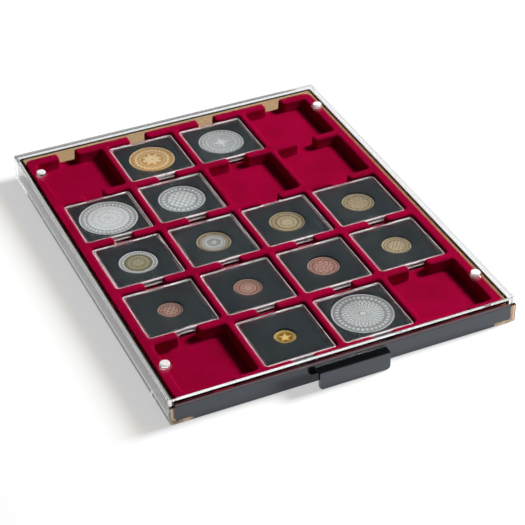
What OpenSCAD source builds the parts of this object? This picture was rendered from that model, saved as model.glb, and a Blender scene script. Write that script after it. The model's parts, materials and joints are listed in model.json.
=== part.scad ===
// Stackable coin box: a clear case, a smoked drawer with a moulded pull, a flocked
// tray of square pockets, and clear two-part capsules that hold coins in foam inlays.
// Millimetres. +Z is up, the drawer opens towards -Y, and the origin is the middle of
// the whole box on the surface it stands on. Sizes run from the inside out: the capsule
// sets the pocket, the pockets set the tray, the tray the drawer, and the drawer the case.

/* [Capsule] */
// Side of a square capsule
capsule_side = 48; // [46:0.5:52]
// Thickness of a closed capsule
capsule_t = 6.25; // [5.5:0.05:8]
// Corner radius of a capsule
capsule_r = 2; // [1:0.25:4]
// Thickness of the clear floor of the base and top of the lid
capsule_plate = 1.1; // [0.8:0.1:1.4]
// Width of the clear rim round the foam inlay
capsule_rim = 2.2; // [1.8:0.1:2.6]
// Height of the base's tongue inside the lid
tongue_h = 1.1; // [0.6:0.1:1.5]
// Gap between the tongue and the lid's groove
tongue_gap = 0.1; // [0.05:0.01:0.2]
// Width of the thumbnail slot at the parting line
nail_w = 11; // [6:0.5:16]
// Height of the thumbnail slot
nail_h = 0.6; // [0.4:0.1:1]
// Depth of the thumbnail slot
nail_depth = 0.7; // [0.4:0.05:0.8]

/* [Foam inlay] */
// Gap between the foam inlay and the capsule's walls
foam_gap = 0.15; // [0.1:0.05:0.4]
// Gap between the top of the foam inlay and the lid
foam_top_gap = 0.2; // [0.1:0.05:0.4]
// Corner radius of the foam inlay
foam_r = 1; // [0.5:0.25:2]
// Gap between a coin's edge and its hole in the foam
coin_gap = 0.1; // [0.05:0.01:0.2]

/* [Coins] */
// Diameter of a large silver coin
crown_d = 40; // [36:0.25:41]
// Thickness of a large silver coin
crown_t = 2.9; // [2:0.1:3.2]
// Diameter of a medium silver or gold coin
medal_d = 32.6; // [28:0.1:36]
// Thickness of a medium silver or gold coin
medal_t = 2.6; // [1.6:0.1:3]
// Diameter of the small gold coin
sovereign_d = 14; // [12:0.25:20]
// Thickness of the small gold coin
sovereign_t = 1.4; // [1:0.1:2]
// Diameter of the two-tone coin with a silver ring
ring_large_d = 25.75; // [24:0.25:28]
// Diameter of its gold core
core_large_d = 18.75; // [15:0.25:20]
// Diameter of the two-tone coin with a gold ring
ring_small_d = 23.25; // [21:0.25:25]
// Diameter of its silver core
core_small_d = 16.75; // [13:0.25:18]
// Thickness of the two-tone coins
ring_t = 2.3; // [1.8:0.1:2.8]
// Diameter of the large brass coin
brass_large_d = 24.25; // [22:0.25:26]
// Diameter of the medium brass coin
brass_medium_d = 22.25; // [20:0.25:24]
// Diameter of the small brass coin
brass_small_d = 19.75; // [18:0.25:22]
// Thickness of the brass coins
brass_t = 2.1; // [1.6:0.1:2.6]
// Diameter of the large copper coin
copper_large_d = 21.25; // [19:0.25:23]
// Diameter of the medium copper coin
copper_medium_d = 18.75; // [17:0.25:21]
// Diameter of the small copper coin
copper_small_d = 16.25; // [14:0.25:18]
// Thickness of the copper coins
copper_t = 1.7; // [1.4:0.1:2.2]
// Width of the raised rim round a coin
coin_rim_w = 0.9; // [0.6:0.1:1.4]
// Height of the raised rim over the coin's field
coin_rim_h = 0.2; // [0.1:0.05:0.3]
// Width of the groove where the core of a two-tone coin meets its ring
seam_w = 0.3; // [0.2:0.05:0.5]
// Depth of that groove
seam_depth = 0.12; // [0.05:0.01:0.2]

/* [Tray] */
// Columns of pockets
columns = 4; // [4:1:6]
// Rows of pockets
rows = 5; // [5:1:7]
// Gap between a capsule and its pocket's walls
pocket_gap = 0.4; // [0.2:0.1:1]
// Corner radius of a pocket
pocket_r = 2.2; // [1.5:0.1:4]
// Width of the wall between columns
column_wall = 5.2; // [4:0.2:9]
// Width of the wall between rows
row_wall = 7.2; // [6.4:0.2:10]
// Width of the rim at the left and right
side_rim = 6.8; // [5:0.2:10]
// Width of the rim at the front
front_rim = 5.5; // [5:0.1:9]
// Width of the rim at the back
back_rim = 7.4; // [5:0.2:10]
// Height of the rim over the capsules
rim_rise = 1.65; // [0.5:0.05:3]
// Thickness of the formed sheet
sheet = 1; // [0.6:0.1:1.2]
// Outer corner radius
tray_r = 5; // [3:0.5:8]
// Width of the finger notches
notch_w = 12.5; // [8:0.5:20]
// Radius of the wall ends at a notch
notch_r = 2.4; // [1.5:0.1:2.4]
// Width of the soft edge round each pocket's mouth
soft_edge = 0.7; // [0.3:0.1:0.9]

/* [Drawer] */
// Gap between the tray and the drawer's side walls
tray_gap = 0.6; // [0.3:0.1:0.9]
// Gap between the tray and the drawer's front wall
tray_front_gap = 0.4; // [0.3:0.1:0.9]
// Gap between the tray and the drawer's back wall
tray_back_gap = 0.5; // [0.3:0.1:0.9]
// Thickness of the drawer's walls
drawer_wall = 2; // [1.5:0.1:3]
// Thickness of the drawer's floor
drawer_floor = 2; // [1.5:0.1:3]
// Height of the drawer's walls over the tray's rim
wall_rise = 1.1; // [0.3:0.1:2]
// Outer corner radius of the drawer
drawer_r = 1.5; // [0.8:0.1:3]
// Inner corner radius of the drawer
drawer_inner_r = 1.2; // [0.5:0.1:3]
// Thickness of the front panel that covers the case's edges
panel_t = 2; // [1.5:0.1:4]
// Height of the front panel
panel_h = 13; // [11:0.25:13.5]
// Height of the front panel's lower edge over the table
foot_gap = 0.3; // [0.2:0.1:1]
// Gap between the front panel and the case
panel_gap = 0.3; // [0.2:0.1:0.8]
// Corner radius of the front panel's long upper edge
panel_r = 0.6; // [0.3:0.1:1.2]

/* [Handle] */
// Width of the handle
handle_w = 48; // [30:1:80]
// How far the handle stands out from the front panel
handle_out = 8.7; // [7.5:0.1:16]
// Thickness of the handle's top plate
handle_plate = 2.2; // [1.6:0.1:3]
// Thickness of the handle's lip
handle_lip = 2.2; // [1.6:0.1:2.8]
// Radius of the handle's front upper edge
handle_r = 0.8; // [0.4:0.1:1.5]
// Chamfer at the lip's lower corners
lip_chamfer = 1.6; // [0.5:0.1:4]
// Thickness of the two webs under the handle
web_t = 1.8; // [1.2:0.1:3]
// Height of the webs below the handle's top plate
web_h = 4.3; // [2:0.1:8]
// Distance of the webs from the handle's ends
web_inset = 4; // [1:0.5:8]

/* [Case] */
// Thickness of the case's side and back walls
case_wall = 2.4; // [1.8:0.1:4]
// Thickness of the cover plate
cover = 2.2; // [1.5:0.1:4]
// Corner radius of the case
case_r = 1.6; // [0.8:0.1:4]
// Gap between the drawer and the case's side and back walls
side_gap = 0.8; // [0.4:0.1:0.9]
// Gap between the drawer and the cover plate
top_gap = 1.2; // [0.5:0.1:2]
// Gap between the drawer and the ledges that carry it
slide_gap = 0.2; // [0.1:0.05:0.4]
// Thickness of the ledges along the base
ledge_t = 2.4; // [2.2:0.1:4]
// Width of the ledges along the base
ledge_w = 14; // [12.5:0.5:24]

/* [Stacking nubs] */
// Diameter of a stacking nub
nub_d = 6.4; // [4:0.1:7]
// Height of a stacking nub
nub_h = 2; // [1:0.1:2.2]
// Diameter of the low step round a nub
nub_step_d = 8.8; // [8:0.1:10]
// Height of that step
nub_step_h = 0.3; // [0.2:0.1:0.6]
// Distance of the nubs from the case's side faces
nub_inset_x = 10.5; // [9.5:0.5:12]
// Distance of the nubs from the case's front and back
nub_inset_y = 31; // [20:1:60]
// Gap between a nub and the socket in the box stacked above
socket_gap = 0.3; // [0.2:0.05:0.6]

/* [Hidden] */
$fn = 48;
// Cutting tools reach this far past the faces that they cut
past = 1;
// The same for the slanted cut of a soft edge
edge_past = 0.2;

// Coins by place: row from the front, column from the left, diameter, thickness, core
coins = [
    [1, 2, sovereign_d, sovereign_t, 0],
    [1, 3, crown_d, crown_t, 0],
    [2, 1, copper_small_d, copper_t, 0],
    [2, 2, copper_medium_d, copper_t, 0],
    [2, 3, copper_large_d, copper_t, 0],
    [2, 4, brass_small_d, brass_t, 0],
    [3, 1, ring_large_d, ring_t, core_large_d],
    [3, 2, ring_small_d, ring_t, core_small_d],
    [3, 3, brass_large_d, brass_t, 0],
    [3, 4, brass_medium_d, brass_t, 0],
    [4, 1, crown_d, crown_t, 0],
    [4, 2, medal_d, medal_t, 0],
    [5, 2, medal_d, medal_t, 0],
    [5, 3, medal_d, medal_t, 0]
];
function place(c) = str("r", c[0], "c", c[1]);

// Plan sizes, from the capsule outwards
pocket = capsule_side + 2 * pocket_gap;
pitch_x = pocket + column_wall;
pitch_y = pocket + row_wall;
tray_w = columns * pocket + (columns - 1) * column_wall + 2 * side_rim;
tray_d = rows * pocket + (rows - 1) * row_wall + front_rim + back_rim;
bay_w = tray_w + 2 * tray_gap;
bay_d = tray_d + tray_front_gap + tray_back_gap;
drawer_w = bay_w + 2 * drawer_wall;
drawer_d = bay_d + 2 * drawer_wall;
room_w = drawer_w + 2 * side_gap;
case_w = room_w + 2 * case_wall;
case_d = drawer_d + side_gap + case_wall;
total_d = case_d + panel_gap + panel_t + handle_out;

// Heights, from the table upwards
drawer_z = ledge_t + slide_gap;
bay_z = drawer_z + drawer_floor;
pocket_z = bay_z + sheet;
rim_z = pocket_z + capsule_t + rim_rise;
drawer_top = rim_z + wall_rise;
room_top = drawer_top + top_gap;
case_top = room_top + cover;
panel_top = foot_gap + panel_h;

// Places along the depth, from the handle's lip to the back of the case
lip_y = -total_d / 2;
panel_y = lip_y + handle_out;
front_y = panel_y + panel_t + panel_gap;
bay_y = front_y + drawer_wall;
tray_y = bay_y + tray_front_gap;
case_mid_y = front_y + case_d / 2;
tray_mid_y = tray_y + tray_d / 2;
first_row_y = tray_y + front_rim + pocket / 2;

// Sizes inside the capsule
half_t = capsule_t / 2;
cavity = capsule_side - 2 * capsule_rim;
cavity_r = max(capsule_r - capsule_rim, 0) + foam_r;
tongue_side = cavity + capsule_rim - tongue_gap;
groove_side = cavity + capsule_rim + tongue_gap;
foam_side = cavity - 2 * foam_gap;
foam_t = capsule_t - 2 * capsule_plate - foam_top_gap;
foam_mid_z = pocket_z + capsule_plate + foam_t / 2;

// Rectangle with round corners, centred
module round_rect(w, d, r) {
    union() {
        square([w - 2 * r, d], center = true);
        square([w, d - 2 * r], center = true);
        for (x = [-1, 1], y = [-1, 1])
            translate([x * (w / 2 - r), y * (d / 2 - r)])
                circle(r);
    }
}

// Block with round upright edges, standing on z
module round_block(w, d, r, z, h) {
    translate([0, 0, z])
        linear_extrude(h)
            round_rect(w, d, r);
}

// Centre of a pocket, in the plan
function pocket_x(column) = (column - (columns + 1) / 2) * pitch_x;
function pocket_y(row) = first_row_y + (row - 1) * pitch_y;

module at_pocket(c) {
    translate([pocket_x(c[1]), pocket_y(c[0]), 0])
        children();
}

module at_nubs() {
    for (x = [-1, 1], y = [-1, 1])
        translate([x * (case_w / 2 - nub_inset_x), case_mid_y + y * (case_d / 2 - nub_inset_y), 0])
            children();
}

// Clear case: cover plate, three walls, ledges that carry the drawer, nubs and sockets
module case() {
    color([0.86, 0.9, 0.92, 0.35])
        difference() {
            union() {
                translate([0, case_mid_y, 0])
                    round_block(case_w, case_d, case_r, 0, case_top);
                at_nubs() {
                    translate([0, 0, room_top])
                        cylinder(d = nub_d, h = cover + nub_h);
                    translate([0, 0, room_top])
                        cylinder(d = nub_step_d, h = cover + nub_step_h);
                }
            }
            // Room for the drawer, open at the front
            translate([-room_w / 2, front_y - past, ledge_t])
                cube([room_w, past + case_d - case_wall, room_top - ledge_t]);
            // Window between the ledges
            translate([ledge_w - room_w / 2, front_y - past, -past])
                cube([room_w - 2 * ledge_w, past + case_d - case_wall - ledge_w, past + ledge_t + past]);
            at_nubs()
                translate([0, 0, -past])
                    cylinder(d = nub_d + 2 * socket_gap, h = past + ledge_t + past);
        }
}

// Side view of the front panel, its upper front edge rounded, in depth and height
module panel_profile() {
    difference() {
        translate([panel_y, foot_gap])
            square([panel_t, panel_h]);
        edge_cut(panel_y, panel_top, panel_r);
    }
}

// Takes a square corner back to a quarter circle, at a front upper edge
module edge_cut(y, z, r) {
    difference() {
        translate([y - past, z - r])
            square([past + r, past + r]);
        translate([y + r, z - r])
            circle(r);
        translate([y + r, z - r - past])
            square([past + r, past + 2 * r]);
    }
}

// Side view of the handle: a top plate and a lip that hangs in front of the panel
module handle_profile() {
    difference() {
        translate([lip_y, foot_gap])
            square([handle_out + panel_t, panel_h]);
        translate([lip_y + handle_lip, foot_gap - past])
            square([handle_out - handle_lip, past + panel_h - handle_plate]);
        edge_cut(lip_y, panel_top, handle_r);
    }
}

// Carries a side view, drawn in depth and height, along the width
module along_width(w) {
    translate([-w / 2, 0, 0])
        rotate([90, 0, 90])
            linear_extrude(w)
                children();
}

module handle() {
    difference() {
        along_width(handle_w)
            handle_profile();
        for (x = [-1, 1])
            translate([x * handle_w / 2, lip_y - past, foot_gap])
                rotate([0, 45, 0])
                    translate([-lip_chamfer / sqrt(2), 0, -lip_chamfer / sqrt(2)])
                        cube([lip_chamfer * sqrt(2), past + handle_lip + past / 2, lip_chamfer * sqrt(2)]);
    }
    // The webs reach half way into the lip, the plate and the panel
    for (x = [-1, 1])
        translate([x * (handle_w / 2 - web_inset) - web_t / 2, lip_y + handle_lip / 2,
            panel_top - handle_plate - web_h])
            cube([web_t, handle_out - handle_lip / 2 + panel_t / 2, web_h + handle_plate / 2]);
}

// Smoked drawer: tub, front panel and handle in one moulding
module drawer() {
    color([0.12, 0.11, 0.1])
        difference() {
            union() {
                translate([0, front_y + drawer_d / 2, 0])
                    round_block(drawer_w, drawer_d, drawer_r, drawer_z, drawer_top - drawer_z);
                translate([-drawer_w / 2 + drawer_r, panel_y + panel_t / 2, drawer_z])
                    cube([drawer_w - 2 * drawer_r, panel_t / 2 + panel_gap + drawer_wall, drawer_top - drawer_z]);
                along_width(case_w)
                    panel_profile();
                handle();
            }
            translate([0, bay_y + bay_d / 2, 0])
                round_block(bay_w, bay_d, drawer_inner_r, bay_z, drawer_top - bay_z + past);
            // The front wall stands back to the case's front edge above the panel
            translate([-drawer_w / 2, panel_y - past, panel_top])
                cube([drawer_w, past + panel_t + panel_gap, drawer_top - panel_top + past]);
        }
}

// Opening of a pocket that is larger than the capsule's by 2 * grow, centred
module pocket_plan(grow) {
    round_rect(pocket + 2 * grow, pocket + 2 * grow, pocket_r + grow);
}

// Finger notch through a wall of the given width, with the wall's ends rounded
module notch_plan(wall, grow) {
    r = notch_r - grow;
    w = notch_w + 2 * grow;
    square([w, wall + 2 * past], center = true);
    for (x = [-1, 1], y = [-1, 1])
        translate([x * w / 2, y * (wall / 2 - grow)])
            mirror([x < 0 ? 1 : 0, 0])
                mirror([0, y > 0 ? 1 : 0])
                    difference() {
                        translate([-past / 2, -past / 2])
                            square(r + past / 2);
                        translate([r, r])
                            circle(r);
                        translate([r, -past])
                            square(r + past);
                        translate([-past, r])
                            square(r + past);
                    }
}

// Plan of the tray's walls, drawn back by grow on every side
module walls_plan(grow) {
    difference() {
        translate([0, tray_mid_y])
            round_rect(tray_w - 2 * grow, tray_d - 2 * grow, tray_r - grow);
        for (column = [1 : columns]) {
            for (row = [1 : rows])
                translate([pocket_x(column), pocket_y(row)])
                    pocket_plan(grow);
            for (row = [1 : rows - 1])
                translate([pocket_x(column), pocket_y(row) + pitch_y / 2])
                    notch_plan(row_wall, grow);
            translate([pocket_x(column), tray_y + front_rim / 2])
                notch_plan(front_rim, grow);
            translate([pocket_x(column), tray_y + tray_d - back_rim / 2])
                notch_plan(back_rim, grow);
        }
    }
}

// Side view of a pocket's mouth, which opens at 45 degrees over the soft edge and past the rim
module mouth_profile() {
    reach = soft_edge + edge_past;
    polygon([[-pocket / 2, 0], [pocket / 2, 0], [pocket / 2 + reach, reach], [-pocket / 2 - reach, reach]]);
}

// Takes the sharp edge off a pocket's mouth: straight runs along the sides and a cone at each corner
module soft_mouth() {
    run = pocket - 2 * pocket_r;
    reach = soft_edge + edge_past;
    translate([0, 0, rim_z - soft_edge]) {
        for (turn = [0, 90])
            rotate([0, 0, turn])
                translate([0, run / 2, 0])
                    rotate([90, 0, 0])
                        linear_extrude(run)
                            mouth_profile();
        for (x = [-1, 1], y = [-1, 1])
            translate([x * run / 2, y * run / 2, 0])
                cylinder(r1 = pocket_r, r2 = pocket_r + reach, h = reach);
    }
}

// Flocked tray, formed from one sheet: pocket floors on the drawer's floor and hollow walls
module tray() {
    color([0.62, 0.03, 0.19])
        difference() {
            union() {
                translate([0, tray_mid_y, 0])
                    round_block(tray_w, tray_d, tray_r, bay_z, sheet);
                translate([0, 0, bay_z])
                    linear_extrude(rim_z - bay_z)
                        walls_plan(0);
            }
            translate([0, 0, bay_z - past])
                linear_extrude(past + rim_z - sheet - bay_z)
                    walls_plan(sheet);
            for (column = [1 : columns], row = [1 : rows])
                translate([pocket_x(column), pocket_y(row), 0])
                    soft_mouth();
        }
}

// Thumbnail slots in the lid's lower edge, front and back
module nail_slots() {
    for (y = [-1, 1])
        translate([-nail_w / 2, y * capsule_side / 2 - nail_depth, pocket_z + half_t - past])
            cube([nail_w, 2 * nail_depth, past + nail_h]);
}

// Base of a capsule: floor, wall and a tongue that fits inside the lid
module capsule_base(c) {
    color([0.88, 0.91, 0.92, 0.4])
        at_pocket(c)
            difference() {
                union() {
                    round_block(capsule_side, capsule_side, capsule_r, pocket_z, half_t);
                    round_block(tongue_side, tongue_side, capsule_r, pocket_z, half_t + tongue_h);
                }
                round_block(cavity, cavity, cavity_r, pocket_z + capsule_plate, capsule_t);
            }
}

// Lid of a capsule: top plate and a wall with a groove for the tongue
module capsule_lid(c) {
    color([0.88, 0.91, 0.92, 0.4])
        at_pocket(c)
            difference() {
                round_block(capsule_side, capsule_side, capsule_r, pocket_z + half_t, half_t);
                round_block(cavity, cavity, cavity_r, pocket_z + half_t - past, past + half_t - capsule_plate);
                round_block(groove_side, groove_side, capsule_r + tongue_gap, pocket_z + half_t - past,
                    past + tongue_h + tongue_gap);
                nail_slots();
            }
}

// Foam inlay with the hole that grips the coin's edge
module foam_inlay(c) {
    color([0.1, 0.11, 0.12])
        at_pocket(c)
            difference() {
                round_block(foam_side, foam_side, foam_r, pocket_z + capsule_plate, foam_t);
                translate([0, 0, pocket_z])
                    cylinder(d = c[2] + 2 * coin_gap, h = capsule_t);
            }
}

// Half section of a coin from its middle outwards, raised at the rim
module coin_section(d, t, core) {
    difference() {
        translate([0, -t / 2])
            square([d / 2, t]);
        for (side = [-1, 1]) {
            translate([0, side * t / 2])
                square([2 * (d / 2 - coin_rim_w), 2 * coin_rim_h], center = true);
            if (core > 0)
                translate([core / 2, side * (t / 2 - coin_rim_h)])
                    square([seam_w, 2 * seam_depth], center = true);
        }
    }
}

module coin(c) {
    color([0.75, 0.72, 0.66])
        at_pocket(c)
            translate([0, 0, foam_mid_z])
                rotate_extrude()
                    coin_section(c[2], c[3], c[4]);
}

case();
drawer();
tray();
for (c = coins) {
    capsule_base(c);
    capsule_lid(c);
    foam_inlay(c);
    coin(c);
}
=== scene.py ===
# Coin box: a clear case, a smoked drawer with a pull, a flocked tray, and coins in clear capsules
import json
import math

import bmesh
import bpy
import numpy as np
from mathutils import Matrix, Vector

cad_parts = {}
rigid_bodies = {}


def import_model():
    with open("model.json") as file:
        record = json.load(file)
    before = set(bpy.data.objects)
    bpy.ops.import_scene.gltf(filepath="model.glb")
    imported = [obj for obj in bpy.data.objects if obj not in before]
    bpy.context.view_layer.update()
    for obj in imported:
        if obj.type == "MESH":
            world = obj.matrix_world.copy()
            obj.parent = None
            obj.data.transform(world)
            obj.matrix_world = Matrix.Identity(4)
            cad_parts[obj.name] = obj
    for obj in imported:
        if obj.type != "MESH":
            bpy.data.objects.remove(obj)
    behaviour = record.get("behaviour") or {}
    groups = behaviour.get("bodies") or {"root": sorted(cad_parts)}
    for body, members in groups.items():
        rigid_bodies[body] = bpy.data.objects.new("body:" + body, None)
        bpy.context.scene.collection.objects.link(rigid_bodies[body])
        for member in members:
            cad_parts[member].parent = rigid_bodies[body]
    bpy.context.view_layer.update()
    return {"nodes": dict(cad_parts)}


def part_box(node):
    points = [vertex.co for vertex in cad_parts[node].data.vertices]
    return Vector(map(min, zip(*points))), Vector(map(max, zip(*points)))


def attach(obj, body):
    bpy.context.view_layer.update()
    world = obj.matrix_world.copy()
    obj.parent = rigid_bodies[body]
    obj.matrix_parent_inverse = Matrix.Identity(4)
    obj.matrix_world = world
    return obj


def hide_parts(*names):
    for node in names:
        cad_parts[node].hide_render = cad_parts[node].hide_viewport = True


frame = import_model()
nodes = frame["nodes"]
scene = bpy.context.scene
perMetre = 1000.0  # meshes are worked out in millimetres
places = sorted(name[len("coin_"):] for name in nodes if name.startswith("coin_"))
print("frame:", len(nodes), "nodes,", len(places), "capsules")


def boxMm(node):  # lowest and highest corner of a CAD node, in millimetres
    low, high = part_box(node)
    return np.array(low) * perMetre, np.array(high) * perMetre


def centreMm(node):
    low, high = boxMm(node)
    return (low + high) / 2


def linearColour(hexCode):  # sRGB hex to linear RGBA
    srgb = np.array([int(hexCode[i:i + 2], 16) for i in (1, 3, 5)]) / 255
    flat = np.where(srgb <= 0.04045, srgb / 12.92, ((srgb + 0.055) / 1.055) ** 2.4)
    return (*flat.tolist(), 1.0)


def addNode(tree, kind, inputs=None, **settings):
    # adds a shader node with its settings, and puts values or links on its inputs
    node = tree.nodes.new("ShaderNode" + kind)
    for key, value in settings.items():
        setattr(node, key, value)
    for key, value in (inputs or {}).items():
        if isinstance(value, bpy.types.NodeSocket):
            tree.links.new(value, node.inputs[key])
        else:
            node.inputs[key].default_value = value
    return node


def newMaterial(name):
    material = bpy.data.materials.new(name)
    material.use_nodes = True
    material.node_tree.nodes.clear()
    return material, material.node_tree


def gridQuads(rows, columns, wrapRows=False, wrapColumns=False):
    # corner numbers of the quads of a rows x columns grid, each side closed on itself where asked
    row = np.arange(rows if wrapRows else rows - 1)[:, None]
    column = np.arange(columns if wrapColumns else columns - 1)[None, :]
    nextRow = (row + 1) % rows
    nextColumn = (column + 1) % columns
    corners = [row * columns + column, row * columns + nextColumn,
               nextRow * columns + nextColumn, nextRow * columns + column]
    return np.stack(np.broadcast_arrays(*corners), axis=-1).reshape(-1, 4)


def makePiece(name, points, faces, material, body):
    # a smooth mesh from points in mm and faces, riding on a body
    mesh = bpy.data.meshes.new(name)
    mesh.from_pydata((np.asarray(points) / perMetre).tolist(), [], [list(map(int, f)) for f in faces])
    mesh.shade_smooth()
    mesh.materials.append(material)
    piece = bpy.data.objects.new(name, mesh)
    scene.collection.objects.link(piece)
    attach(piece, body)
    return piece


# How the edges of a moulding are found and rounded
edgeWork = {"mergeM": 1e-6, "flatDegrees": 0.2, "sharpDegrees": 35, "segments": 3, "smoothDegrees": 42}


def bevelledCopy(node, name, materials, body, cuts, finish=None):
    # a CAD node with radii on its edges: each cut is a radius in mm and a test of an edge's two ends.
    # A radius takes the second material where there is one, and finish then settles the material of every
    # face from its middle.
    mesh = nodes[node].data.copy()
    mesh.name = name
    work = bmesh.new()
    work.from_mesh(mesh)
    bmesh.ops.remove_doubles(work, verts=work.verts, dist=edgeWork["mergeM"])
    bmesh.ops.dissolve_limit(work, angle_limit=math.radians(edgeWork["flatDegrees"]), verts=work.verts,
                             edges=work.edges)
    sharp = math.radians(edgeWork["sharpDegrees"])
    for width, test in cuts:
        chosen = []
        for edge in work.edges:
            if len(edge.link_faces) == 2 and edge.is_convex and edge.calc_face_angle() > sharp:
                if test(np.array([v.co for v in edge.verts]) * perMetre):
                    chosen.append(edge)
        made = bmesh.ops.bevel(work, geom=chosen, offset=width / perMetre, segments=edgeWork["segments"],
                               profile=0.5, affect="EDGES", clamp_overlap=True)
        for face in made["faces"]:
            face.material_index = min(1, len(materials) - 1)
    work.normal_update()
    if finish:
        for face in work.faces:
            face.material_index = finish(np.array(face.calc_center_median()) * perMetre, face)
    mesh.materials.clear()
    for material in materials:
        mesh.materials.append(material)
    work.to_mesh(mesh)
    work.free()
    mesh.shade_smooth()
    mesh.set_sharp_from_angle(angle=math.radians(edgeWork["smoothDegrees"]))
    piece = bpy.data.objects.new(name, mesh)
    scene.collection.objects.link(piece)
    even = piece.modifiers.new("even normals", "WEIGHTED_NORMAL")
    even.keep_sharp = True
    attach(piece, body)
    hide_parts(node)
    return len(mesh.polygons)


def litThrough(tree, plastic, tint):
    # diffuse and shadow rays pass straight through, so that what lies inside is lit as under a thin cover
    through = addNode(tree, "BsdfTransparent", {"Color": tint})
    path = addNode(tree, "LightPath")
    soft = addNode(tree, "MixShader", {0: path.outputs["Is Diffuse Ray"], 1: plastic.outputs[0],
                                       2: through.outputs[0]})
    lit = addNode(tree, "MixShader", {0: path.outputs["Is Shadow Ray"], 1: soft.outputs[0],
                                      2: through.outputs[0]})
    return lit.outputs[0]


# Clear polystyrene, injection moulded: colourless and polished. The capsules have hazed radii and joint faces
# that catch light, painted light for what real clear joints reflect, tinted pink as painted light from the
# red flock below. The case has frosted nubs, whose near-white tops are a painted highlight. Roughness runs
# between two values.
clearLook = {
    "ior": 1.59, "wearMm": 9, "wearDetail": 3.0, "wearRange": (0.3, 0.7),
    "clear capsule polystyrene": {"tint": "#FCFCFC", "roughness": (0.012, 0.03), "clearness": 1.0},
    # painted light: the hazed faces' pink tint stands in for red light from the flock below
    "hazed polystyrene": {"tint": "#F6E0E4", "roughness": (0.26, 0.34), "clearness": 0.42},
    "clear case polystyrene": {"tint": "#FBFDFD", "roughness": (0.012, 0.03), "clearness": 1.0},
    # painted highlight: the nubs' tops are made matt and near white
    "frosted polystyrene": {"tint": "#FDFAFB", "roughness": (0.5, 0.6), "clearness": 0.1},
}


def clearPolystyrene(name):
    # handling leaves faint patches of more and less gloss
    material, tree = newMaterial(name)
    kind = clearLook[name]
    tint = linearColour(kind["tint"])
    place = addNode(tree, "TexCoord")
    wear = addNode(tree, "TexNoise", {"Vector": place.outputs["Object"],
                                      "Scale": perMetre / clearLook["wearMm"],
                                      "Detail": clearLook["wearDetail"]})
    rough = addNode(tree, "MapRange", {"Value": wear.outputs["Fac"], "From Min": clearLook["wearRange"][0],
                                       "From Max": clearLook["wearRange"][1], "To Min": kind["roughness"][0],
                                       "To Max": kind["roughness"][1]})
    plastic = addNode(tree, "BsdfPrincipled", {
        "Base Color": tint, "Roughness": rough.outputs["Result"], "IOR": clearLook["ior"],
        "Transmission Weight": kind["clearness"]})
    addNode(tree, "OutputMaterial", {"Surface": litThrough(tree, plastic, tint)})
    return material


# Smoked polystyrene, injection moulded: looks black over a dark ground and tan where light comes through.
# The light left after each 2 mm follows exp(-absorption * path). The limits of the painted shade and its
# paler top edge are in mm.
smokedLook = {"left": (0.64, 0.44, 0.26), "per": 0.002, "ior": 1.59, "roughness": 0.08,
              "grainMm": 0.4, "grainDetail": 2.0, "grainDepth": 0.02, "grainM": 0.0002,
              "gloss": "#D4E6FF", "coat": 0.5, "coatRoughness": 0.06, "coatIor": 1.55,
              # the front colour is painted shade, near black where the inside would look dark
              "front": "#111314", "frontEnd": 114.4, "frontBack": -141.5, "cornerEnd": 103, "cornerTop": 2.6,
              # the top edge colour is painted light on the panel's upper edge
              "topEdgeLight": "#6A5C61", "topFrom": 13.0, "topFront": -143.8}


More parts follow.
